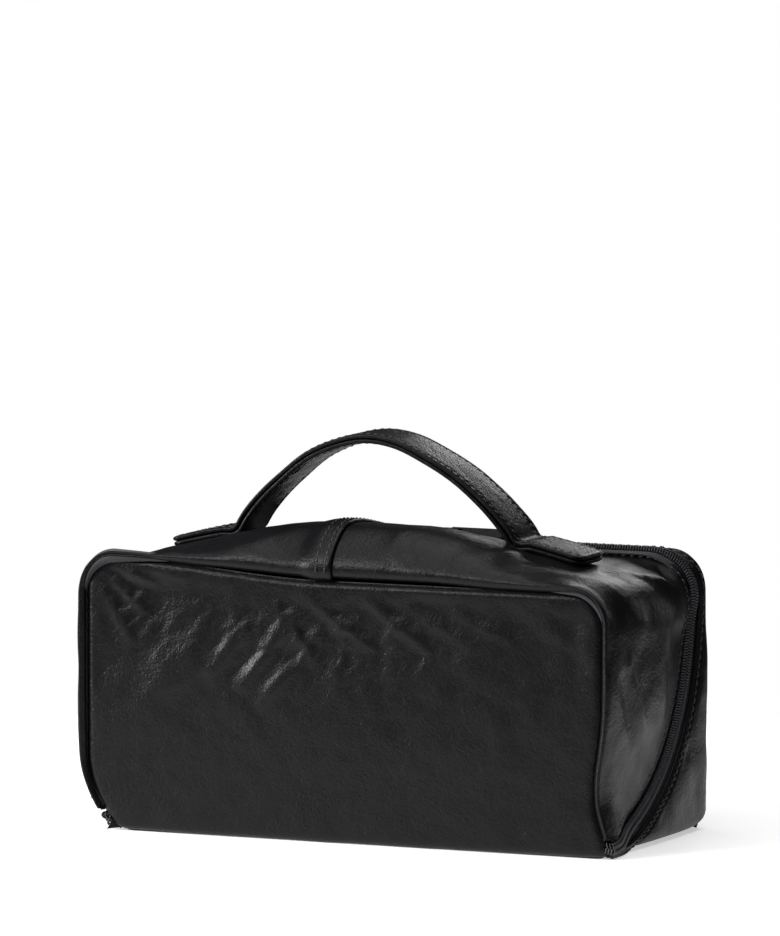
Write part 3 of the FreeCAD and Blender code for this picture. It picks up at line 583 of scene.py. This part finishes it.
def shape_base_gusset(side):
    """One half of the base gusset: the corner outside the zip's arc, then the rim along the top."""
    start, stop = math.radians(1), math.pi / 2
    last_y = 63.2

    def place(u, v):
        share = np.clip(v / 0.5, 0, 1)
        angle = start + (stop - start) * share
        inner = ZIP_R + EDGE_GAP
        to_bottom = (ZIP_Z - BOTTOM) / np.maximum(np.cos(angle), 1e-6)
        to_front = (last_y - ZIP_Y) / np.maximum(np.sin(angle), 1e-6)
        sharp = CORNER_SHARPNESS
        outer = (to_bottom**-sharp + to_front**-sharp) ** (-1 / sharp)
        radius = inner + (np.maximum(outer, inner + 0.4) - inner) * u
        q_end = ZIP_Z - radius * np.cos(angle)
        y_end = ZIP_Y + radius * np.sin(angle)
        q_top = ZIP_Z + (HALF - ZIP_Z) * np.clip((v - 0.5) / 0.5, 0, 1)
        y_top = ZIP_Y + inner + (last_y - ZIP_Y - inner) * u
        q = np.where(v < 0.5, q_end, q_top)
        y = np.where(v < 0.5, y_end, y_top)
        front = np.interp(y, [57.0, 58.6, 60.2, 61.8, 63.2], REACH[19:24])
        reach = np.where(y < 57.0, reach_of(y), front)
        from_zip = np.where(v < 0.5, (radius - inner), (y_top - ZIP_Y - inner))
        calm = ramp(from_zip, 2, 8) * ramp(REACH[-1] - reach, 2, 9) * ramp(q, 2, 12)
        return relieved(q, reach, side, 15 if side > 0 else 19, calm, hemmed(from_zip))

    return place


for side, word in ((1.0, "right"), (-1.0, "left")):
    item = sheet(f"base_gusset_leather_{word}", 60, 190, shape_base_gusset(side), leather)
    finish_mesh(item, LEATHER, outward)
    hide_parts(f"base_gusset_{word}")
    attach(item, "base")


def shape_front(u, v):
    """The front panel, with its rolled seam, turned under at its foot."""
    x, z, edge = panel_grid(u, v, 0.4, lambda x: FRONT_TOP + 0 * x, SEAM_CORNER)
    depth = rolled(edge)
    points = np.stack([x, np.zeros_like(x), z], axis=1)
    calm = ramp(edge, 2, 9) * (0.25 + 0.75 * ramp(z, 30, 70))
    relief = folds(points, FRONT_FOLDS) + ripple(points, 36, 1.0, 31) + ripple(points, 14, 0.4, 32)
    y = FRONT_FACE - 0.8 - depth + np.clip(relief, -1.6, 0.8) * calm
    under = np.clip(4 - z, 0, 4)
    y -= 4 - np.sqrt(np.clip(16 - under**2, 0, None))
    return np.stack([x, y, z], axis=1)


front = sheet("front_leather", 200, 100, shape_front, leather)
finish_mesh(front, LEATHER, lambda place: (0, 1, 0))
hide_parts("front_panel", "front_padding")
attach(front, "base")


def shape_bottom(u, v):
    """The bottom, drawn up at its seams."""
    x = (2 * u - 1) * 129.5
    y = -57.0 + v * 115.5
    edge = np.minimum(129.5 - np.abs(x), 58.5 - y)
    lift = 2.4 * np.exp(-((edge / 1.8) ** 2))
    x += drawn_in(x, np.zeros_like(x)) * (1 - ramp(y, -50, 0))
    return np.stack([x, y, 0.05 + lift], axis=1)


bottom = sheet("bottom_leather", 90, 60, shape_bottom, leather)
finish_mesh(bottom, LEATHER, lambda place: (0, 0, -1))
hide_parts("bottom_panel", "bottom_board")
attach(bottom, "base")

# ---- The zip -------------------------------------------------------------------------------------
# A size 5 nylon coil chain, black, sewn between the folded edges of the leather on woven
# polyester tape. Each row is one coil of monofilament; the lid and the base carry one each.

COIL_PITCH = 1.35
COIL_WIRE = 0.43
TAPE_DEPTH = 1.75
END_STEPS, TOP_STEPS = 140, 160

# Nylon monofilament, extruded and heat set: smooth, slightly translucent black with a soft gleam.
nylon, tree, shader = material("black_nylon_monofilament")
spot = node(tree, "ShaderNodeTexCoord", {})
haze = node(tree, "ShaderNodeTexNoise", {"Vector": (spot, "Object"), "Scale": 300.0})
polish = node(tree, "ShaderNodeMapRange", {"Value": (haze, 0), "To Min": 0.28, "To Max": 0.42})
tree.links.new(polish.outputs["Result"], shader.inputs["Roughness"])
shader.inputs["Base Color"].default_value = colour("#2b2b30")
shader.inputs["IOR"].default_value = 1.53

# Woven polyester tape: a matt black twill, its threads about 0.5 mm apart.
tape_cloth, tree, shader = material("black_woven_polyester_tape")
spot = node(tree, "ShaderNodeTexCoord", {})
warp = node(
    tree,
    "ShaderNodeTexWave",
    {"Vector": (spot, "Object"), "Scale": 330.0, "Distortion": 0.4},
    bands_direction="DIAGONAL",
)
thread = node(tree, "ShaderNodeBump", {"Height": (warp, 0), "Distance": 0.00015, "Strength": 0.7})
tree.links.new(thread.outputs["Normal"], shader.inputs["Normal"])
shader.inputs["Base Color"].default_value = colour("#1a1a1d")
shader.inputs["Roughness"].default_value = 0.85
shader.inputs["Sheen Weight"].default_value = 0.15


def zip_line(aside=0.0, first=0.8):
    """Points and outward normals along the chain, or mm aside of it, from right to left."""
    swing = np.radians(np.linspace(first, 90, END_STEPS))
    radius = ZIP_R + aside
    q = np.concatenate([ZIP_Z - radius * np.cos(swing), np.linspace(ZIP_Z + 1, HALF, TOP_STEPS)])
    over_top = np.full(TOP_STEPS, ZIP_Y + ZIP_R + 0.9 * aside)
    y = np.concatenate([ZIP_Y + radius * np.sin(swing), over_top])
    reach = reach_of(y)
    if not aside:
        q, reach = np.append(5.0, q), np.append(0.6, reach)
    line = np.concatenate([body(q, reach), body(q, reach, -1.0)[-2::-1]])
    out = np.concatenate([facing(q, reach), facing(q, reach, -1.0)[-2::-1]])
    return line, out


def spaced(line, out, step, shift=0.0):
    """Even stations along a line: place, direction, outward normal and the direction across."""
    length = np.concatenate([[0], np.cumsum(np.linalg.norm(np.diff(line, axis=0), axis=1))])
    where = np.arange(shift, length[-1], step)
    place = np.stack([np.interp(where, length, line[:, i]) for i in range(3)], axis=1)
    up = np.stack([np.interp(where, length, out[:, i]) for i in range(3)], axis=1)
    ahead = np.gradient(place, axis=0)
    ahead /= np.linalg.norm(ahead, axis=1)[:, None]
    up -= ahead * np.sum(up * ahead, axis=1)[:, None]
    up /= np.linalg.norm(up, axis=1)[:, None]
    return place, ahead, up, np.cross(ahead, up)


def copies(name, tool, stations, skin):
    """Copies of one small shape at every station, as one piece."""
    place, ahead, up, across = stations
    shape = np.array([v.co[:] for v in tool.data.vertices]) / MM
    faces = [list(p.vertices) for p in tool.data.polygons]
    count = len(shape)
    points = (
        place[:, None, :]
        + shape[None, :, 0:1] * ahead[:, None, :]
        + shape[None, :, 1:2] * across[:, None, :]
        + shape[None, :, 2:3] * up[:, None, :]
    )
    mesh = bpy.data.meshes.new(name)
    every = [[i + count * k for i in face] for k in range(len(place)) for face in faces]
    mesh.from_pydata((points.reshape(-1, 3) * MM).tolist(), [], every)
    mesh.materials.append(skin)
    mesh.shade_smooth()
    item = bpy.data.objects.new(name, mesh)
    bpy.context.collection.objects.link(item)
    return item


def loop_of_coil(side):
    """One turn of the coil: a bent rod that climbs from the tape and reaches in to the middle."""
    spine = np.array([
        (-0.25, 2.4, -1.7),
        (-0.2, 2.5, -0.6),
        (0.0, 2.05, 0.15),
        (0.25, 1.0, 0.3),
        (0.42, 0.15, 0.05),
        (0.42, 0.05, -0.9),
    ])
    last = len(spine) - 1
    bpy.ops.mesh.primitive_grid_add(x_subdivisions=last, y_subdivisions=last, size=2)
    item = bpy.context.object
    angle = np.linspace(0, 2 * math.pi, last + 1)
    for vert in item.data.vertices:
        column = int(round((vert.co.x + 1) / 2 * last))
        row = int(round((vert.co.y + 1) / 2 * last))
        low, high = max(row - 1, 0), min(row + 1, last)
        run = spine[high] - spine[low]
        run /= np.linalg.norm(run)
        first = np.cross(run, (1, 0, 0))
        first /= np.linalg.norm(first)
        second = np.cross(run, first)
        ring = COIL_WIRE * (math.cos(angle[column]) * first + math.sin(angle[column]) * second)
        spot_at = spine[row] + ring
        vert.co = Vector((spot_at[0], spot_at[1] * side, spot_at[2])) * MM
    bpy.ops.object.mode_set(mode="EDIT")
    bpy.ops.mesh.select_all(action="SELECT")
    bpy.ops.mesh.remove_doubles(threshold=1e-6)
    bpy.ops.mesh.edge_face_add()
    bpy.ops.mesh.select_all(action="SELECT")
    bpy.ops.mesh.normals_make_consistent(inside=False)
    bpy.ops.object.mode_set(mode="OBJECT")
    return item


chain, chain_out = zip_line()
for body_name, side, shift in (("base", 1, 0.0), ("lid", -1, COIL_PITCH / 2)):
    turn = loop_of_coil(side)
    row = copies(f"{body_name}_coil", turn, spaced(chain, chain_out, COIL_PITCH, shift), nylon)
    bpy.data.objects.remove(turn)
    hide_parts(f"{body_name}_zip_coil")
    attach(row, body_name)


def shape_tape(side):
    """The tape under one row of the zip, from its woven edge out to its hidden one."""
    place_at, _, up, across = spaced(chain, chain_out, 2.0)
    if side < 0:
        place_at, up, across = place_at[4:-4], up[4:-4], across[4:-4]

    def place(u, v):
        index = v * (len(place_at) - 1)
        low = np.clip(index.astype(int), 0, len(place_at) - 2)
        share = (index - low)[:, None]
        start = place_at[low] * (1 - share) + place_at[low + 1] * share
        out = up[low] * (1 - share) + up[low + 1] * share
        over = across[low] * (1 - share) + across[low + 1] * share
        reach = 0.4 + u * 7.6
        sink = TAPE_DEPTH + 0.6 * ramp(reach, 4.5, 7)
        points = start + over * (side * reach)[:, None] - out * sink[:, None]
        points[:, 2] = np.maximum(points[:, 2], 0.7)
        return points

    return place


for body_name, side in (("base", 1), ("lid", -1)):
    tape = sheet(f"{body_name}_tape", 6, 300, shape_tape(side), tape_cloth)
    finish_mesh(tape, 0.5, outward)
    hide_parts(f"{body_name}_zip_tape")
    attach(tape, body_name)

# ---- The topstitching ----------------------------------------------------------------------------
# Bonded polyester thread, about 0.6 mm thick and 4.2 mm to a stitch. One row runs beside each
# folded edge of the zip, and two rows hold the lap in the middle of the top.

STITCH_PITCH = 4.2

# Bonded polyester thread, twisted from three plies: black with a faint waxy gleam.
thread_black, tree, shader = material("black_bonded_polyester_thread")
spot = node(tree, "ShaderNodeTexCoord", {})
ply = node(
    tree,
    "ShaderNodeTexWave",
    {"Vector": (spot, "Object"), "Scale": 700.0},
    bands_direction="DIAGONAL",
)
twist = node(tree, "ShaderNodeBump", {"Height": (ply, 0), "Distance": 0.0001, "Strength": 0.6})
tree.links.new(twist.outputs["Normal"], shader.inputs["Normal"])
shader.inputs["Base Color"].default_value = colour("#2e2e32")
shader.inputs["Roughness"].default_value = 0.42


def one_stitch(length, thick):
    """A short plump stitch that dives into the leather at both ends."""
    bpy.ops.mesh.primitive_uv_sphere_add(segments=7, ring_count=6, radius=1)
    item = bpy.context.object
    for vert in item.data.vertices:
        along, wide, high = vert.co.z, vert.co.x, vert.co.y
        dive = -0.9 * along**4
        lift = high * thick / 2 + dive * thick
        vert.co = Vector((along * length / 2, wide * thick / 2, lift)) * MM
    return item


def stitched(name, stitch, line, out, pitch, body_name):
    """One row of stitches along a line, on a body."""
    row = copies(name, stitch, spaced(line, out, pitch), thread_black)
    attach(row, body_name)


stitch = one_stitch(3.3, 0.8)
for body_name, aside, first in (("lid", -EDGE_GAP - 3.2, 8), ("base", EDGE_GAP + 3.0, 16)):
    line, out = zip_line(aside, first)
    name = f"{body_name}_zip_stitching"
    stitched(name, stitch, line + out * 0.1, out, STITCH_PITCH, body_name)

LAP_STEPS = 120
for index, away in enumerate((3.0, 7.6)):
    reach = np.linspace(4.5, edge_of_lid(np.array([HALF]))[0] - 5, LAP_STEPS)
    q = np.full(LAP_STEPS, HALF + LAP_X - away)
    out = facing(q, reach, -1.0)
    line = body(q, reach, -1.0) + out * 1.6
    stitched(f"lap_stitching_{index + 1}", stitch, line, out, STITCH_PITCH, "lid")
bpy.data.objects.remove(stitch)

# ---- The handle ----------------------------------------------------------------------------------
# Two layers of calfskin with a firm filler between them, each with its edges turned in, so a
# groove runs along both sides between two rolled edges. Its ends lie flat and are sewn down.

HANDLE_LOW, HANDLE_HIGH = -22.0, 8.0
ARCH_R, ARCH_Z = 78.0, 111.5
BEND_X, BEND_Z, BEND_R = 76.35, 146.5, 6
TAB_R, TAB_Z = 404.2, -256.5
TAB_CORNER = 5.0
STRAP = 4.2


def handle_line(depth):
    """The line of the handle from the right tab to the left, depth mm under its outer face."""
    bend_from = math.atan2(BEND_Z - ARCH_Z, BEND_X)
    bend_to = math.atan2(BEND_Z - TAB_Z, BEND_X)
    tab_end = math.acos(105.0 / TAB_R)
    tab = np.linspace(tab_end, bend_to, 26)
    bend = np.linspace(bend_to + math.pi, bend_from + math.pi, 12)[1:]
    arch = np.linspace(bend_from, math.pi / 2, 60)[1:]
    x = np.concatenate([
        (TAB_R - depth) * np.cos(tab),
        BEND_X + (BEND_R + depth) * np.cos(bend),
        (ARCH_R - depth) * np.cos(arch),
    ])
    z = np.concatenate([
        (TAB_R - depth) * np.sin(tab) + TAB_Z,
        BEND_Z + (BEND_R + depth) * np.sin(bend),
        ARCH_Z + (ARCH_R - depth) * np.sin(arch),
    ])
    return np.concatenate([x, -x[-2::-1]]), np.concatenate([z, z[-2::-1]])


# how far the worn handle sinks at each place along the bag
SINK_AT = np.array([-78, -72, -60, -49, -36, -22, -5, 11, 25, 39, 54, 62, 70, 78], float)
SINK = np.array([0, 1.2, 4.6, 5.6, 4.0, 3.2, 2.6, 4.2, 6.8, 8.0, 8.0, 6.4, 2.6, 0], float)


def shape_layer(top, bottom, wave):
    """One layer of the handle, with its edges rolled, between two depths under the outer face."""
    middle, thick = (top + bottom) / 2, (bottom - top) / 2
    line_x, line_z = handle_line(middle)
    line_z = line_z - through(SINK_AT, SINK, line_x)
    length = np.concatenate([[0], np.cumsum(np.hypot(np.diff(line_x), np.diff(line_z)))])
    ahead_x, ahead_z = np.gradient(line_x, length), np.gradient(line_z, length)

    def place(u, v):
        where = v * length[-1]
        x, z = np.interp(where, length, line_x), np.interp(where, length, line_z)
        step_x, step_z = np.interp(where, length, ahead_x), np.interp(where, length, ahead_z)
        size_of = np.hypot(step_x, step_z)
        out_x, out_z = step_z / size_of, -step_x / size_of
        turn = u * 2 * math.pi
        wide = (HANDLE_HIGH - HANDLE_LOW) / 2
        across = np.sign(np.cos(turn)) * np.abs(np.cos(turn)) ** 0.2 * wide
        high = np.sign(np.sin(turn)) * np.abs(np.sin(turn)) ** 0.5 * thick
        from_end = np.minimum(where, length[-1] - where)
        close = np.sqrt(np.clip(1 - (1 - np.clip(from_end / 1.6, 0, 1)) ** 2, 0, 1))
        corner = np.clip(TAB_CORNER - from_end, 0, TAB_CORNER)
        narrow = TAB_CORNER - np.sqrt(np.clip(TAB_CORNER**2 - corner**2, 0, None))
        across = np.sign(across) * np.maximum(np.abs(across) - narrow, 0)
        high = high * (0.15 + 0.85 * close)
        inner = wide - np.abs(across)
        seam_line = -0.3 * np.exp(-(((inner - 3.0) / 0.9) ** 2)) * np.sign(high)
        high = high + seam_line
        if wave:
            crumple = np.sin(where * 0.9 + across * 0.12) * 0.28 + np.sin(where * 0.37) * 0.3
            high = high + crumple * ramp(inner, 2, 8) * (high < 0) * ramp(from_end, 40, 70)
        y = (HANDLE_HIGH + HANDLE_LOW) / 2 + across
        return np.stack([x + out_x * high, y, z + out_z * high], axis=1)

    return place


def close_tube(item):
    """Join a rolled sheet along its edge, close its ends, and face it outwards."""
    bpy.ops.object.select_all(action="DESELECT")
    item.select_set(True)
    bpy.context.view_layer.objects.active = item
    bpy.ops.object.mode_set(mode="EDIT")
    bpy.ops.mesh.select_all(action="SELECT")
    bpy.ops.mesh.remove_doubles(threshold=1e-6)
    bpy.ops.mesh.select_all(action="DESELECT")
    bpy.ops.mesh.select_non_manifold()
    bpy.ops.mesh.edge_face_add()
    bpy.ops.mesh.select_all(action="SELECT")
    bpy.ops.mesh.normals_make_consistent(inside=False)
    bpy.ops.object.mode_set(mode="OBJECT")
    item.data.shade_smooth()
    item.select_set(False)
    return item


strap = close_tube(sheet("handle_leather", 56, 260, shape_layer(-0.3, 2.2, False), leather))
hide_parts("handle_strap", "handle_core")
under_shape = shape_layer(2.0, STRAP + 0.3, True)
under = close_tube(sheet("handle_lining_leather", 56, 260, under_shape, leather))
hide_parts("handle_underside", "handle_backing_left", "handle_backing_right")
for item in (strap, under):
    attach(item, "lid")


def strap_row(depth, y, start, stop):
    """A line along the handle, mm under its outer face, with its normals and the full length."""
    x, z = handle_line(depth)
    z = z - through(SINK_AT, SINK, x)
    length = np.concatenate([[0], np.cumsum(np.hypot(np.diff(x), np.diff(z)))])
    if stop is None:
        where = np.linspace(start, length[-1] - start, 400)
    else:
        where = np.linspace(start, stop, 40)
    line_x, line_z = np.interp(where, length, x), np.interp(where, length, z)
    step_x, step_z = np.gradient(line_x), np.gradient(line_z)
    size_of = np.hypot(step_x, step_z)
    line = np.stack([line_x, np.full_like(line_x, y), line_z], axis=1)
    return line, np.stack([step_z / size_of, 0 * step_x, -step_x / size_of], axis=1), length[-1]


HANDLE_PITCH = 3.8
stitch = one_stitch(3.0, 0.75)
for word, depth, flip in (("top", -0.15, 1), ("under", STRAP + 0.15, -1)):
    for edge_word, y in (("back", HANDLE_LOW + 3.0), ("front", HANDLE_HIGH - 3.0)):
        line, out, _ = strap_row(depth, y, 4.0 if flip > 0 else 46.0, None)
        name = f"handle_{word}_stitching_{edge_word}"
        stitched(name, stitch, line, out * flip, HANDLE_PITCH, "lid")
_, _, whole = strap_row(0, 0, 4.0, None)
for index, from_end in enumerate((3.6, 8.2, 30.0)):
    for word, where in (("right", from_end), ("left", whole - from_end)):
        line, out, _ = strap_row(-0.15, 0.0, where, where + 0.5)
        ends = np.linspace(HANDLE_LOW + 4.4, HANDLE_HIGH - 4.4, 40)
        line = np.stack([np.full(40, line[0, 0]), ends, np.full(40, line[0, 2])], axis=1)
        name = f"tab_stitching_{word}_{index + 1}"
        stitched(name, stitch, line, np.repeat(out[:1], 40, axis=0), HANDLE_PITCH, "lid")
bpy.data.objects.remove(stitch)

# ---- The linings ---------------------------------------------------------------------------------
# The inside is lined with plain woven polyester, one piece to each panel and one along each band.
# It is cut a little smaller than the leather and sewn into the seams, so it lies taut.

# Woven polyester lining: thin, smooth black cloth in a fine plain weave.
lining_cloth, tree, shader = material("black_woven_polyester_lining")
spot = node(tree, "ShaderNodeTexCoord", {})
weft = node(
    tree, "ShaderNodeTexWave", {"Vector": (spot, "Object"), "Scale": 260.0}, bands_direction="Z"
)
warp = node(
    tree, "ShaderNodeTexWave", {"Vector": (spot, "Object"), "Scale": 260.0}, bands_direction="X"
)
cross = node(tree, "ShaderNodeMath", {0: (weft, 0), 1: (warp, 0)}, operation="MULTIPLY")
weave = node(tree, "ShaderNodeBump", {"Height": (cross, 0), "Distance": 0.0001, "Strength": 0.5})
tree.links.new(weave.outputs["Normal"], shader.inputs["Normal"])
shader.inputs["Base Color"].default_value = colour("#26262b")
shader.inputs["Roughness"].default_value = 0.62
shader.inputs["Sheen Weight"].default_value = 0.2


LINING_DEPTH = 3.3


def whole_band(v):
    """One run from the right foot over the top to the left foot, as share of its half and side."""
    return np.abs(v - 0.5) * 2, np.where(v < 0.5, 1.0, -1.0)


def shape_lid_lining(u, v):
    """The lining of the lid's band, inside the gusset."""
    share, side = whole_band(v)
    q = lid_rows(1 - share, HALF)
    reach = 4.0 + np.maximum(edge_of_lid(q) - 8.0, 0.5) * u
    return body(q, reach, side) - facing(q, reach, side) * LINING_DEPTH


def shape_base_lining(u, v):
    """The lining of the base's band, inside the gusset."""
    share, side = whole_band(v)
    rows = 1 - 0.94 * share
    right_half, left_half = shape_base_gusset(1.0)(u, rows), shape_base_gusset(-1.0)(u, rows)
    points = np.where((side > 0)[:, None], right_half, left_half)
    z = points[:, 2]
    over_top = ramp(z, 96, 122)
    inward_x = -np.sign(points[:, 0]) * (1 - over_top)
    inward_z = np.where(z > 60, -over_top, ramp(-z, -14, -2))
    inward = np.stack([inward_x, -0.9 * ramp(u, 0.2, 1), inward_z], axis=1)
    return points + inward * LINING_DEPTH


def shape_back_lining(u, v):
    """The lining behind the back panel."""
    x, z, _ = panel_grid(u, v, 6.0, lambda x: seam_top(x) - 3.5, SEAM_CORNER)
    points = np.stack([x, np.zeros_like(x), z], axis=1)
    return np.stack([(x + drawn_in(x, z)) * 0.975, -55.4 + ripple(points, 40, 0.5, 41), z], axis=1)


def shape_front_lining(u, v):
    """The lining behind the front panel."""
    x, z, _ = panel_grid(u, v, 4.0, lambda x: 125.5 + 0 * x, SEAM_CORNER)
    points = np.stack([x, np.zeros_like(x), z], axis=1)
    return np.stack([x * 0.975, 56.6 + ripple(points, 40, 0.6, 43), z], axis=1)


def shape_bottom_lining(u, v):
    """The lining over the stiff bottom."""
    x = (2 * u - 1) * 127.0
    y = -55.5 + v * 112.0
    points = np.stack([x, y, np.zeros_like(x)], axis=1)
    z = 3.2 + np.clip(ripple(points, 40, 0.5, 45), -0.4, 0.4)
    x = x + drawn_in(x, np.zeros_like(x)) * (1 - ramp(y, -50, 0))
    return np.stack([x, y, z], axis=1)


def inner_band(place):
    """Roughly the inward direction, under the top and inside both ends."""
    return (-place.x, 0, -0.06)


LININGS = (
    ("lid_lining_gusset", 40, 260, shape_lid_lining, inner_band, "lid", ("lid_lining",)),
    ("lid_lining_back", 90, 50, shape_back_lining, lambda place: (0, 1, 0), "lid", ()),
    ("base_lining_gusset", 24, 220, shape_base_lining, inner_band, "base", ("base_lining",)),
    ("base_lining_front", 90, 50, shape_front_lining, lambda place: (0, -1, 0), "base", ()),
    ("base_lining_bottom", 90, 40, shape_bottom_lining, lambda place: (0, 0, 1), "base", ()),
)
for name, columns, rows, shape, inner, body_name, hidden in LININGS:
    cloth = sheet(name, columns, rows, shape, lining_cloth)
    finish_mesh(cloth, 0.0, inner)
    finish_mesh(cloth, 0.35, inner)
    if hidden:
        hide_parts(*hidden)
    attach(cloth, body_name)

# ---- The sliders, the pulls and the bindings -----------------------------------------------------
# Two die cast sliders run on the coil, each with a pull hung from its crown. The bindings over the
# raw seam edges inside are folded woven tape.

# Die cast zinc under black enamel: hard and glossy, with a faint orange-peel surface.
enamel, tree, shader = material("black_enamelled_zinc")
spot = node(tree, "ShaderNodeTexCoord", {})
orange_peel = node(tree, "ShaderNodeTexNoise", {"Vector": (spot, "Object"), "Scale": 700.0})
skin_bump = node(tree, "ShaderNodeBump", {"Height": (orange_peel, 0), "Distance": 0.00004})
tree.links.new(skin_bump.outputs["Normal"], shader.inputs["Normal"])
shader.inputs["Base Color"].default_value = colour("#131315")
shader.inputs["Metallic"].default_value = 0.3
shader.inputs["Roughness"].default_value = 0.25
shader.inputs["Coat Weight"].default_value = 0.6


def repaint(name, skin):
    """Give a CAD part its material."""
    item = bpy.data.objects[name]
    item.data.materials.clear()
    item.data.materials.append(skin)


for name in ("slider_left", "slider_right", "pull_left", "pull_right"):
    repaint(name, enamel)
for name in ("base_seam_binding", "lid_seam_binding"):
    repaint(name, tape_cloth)
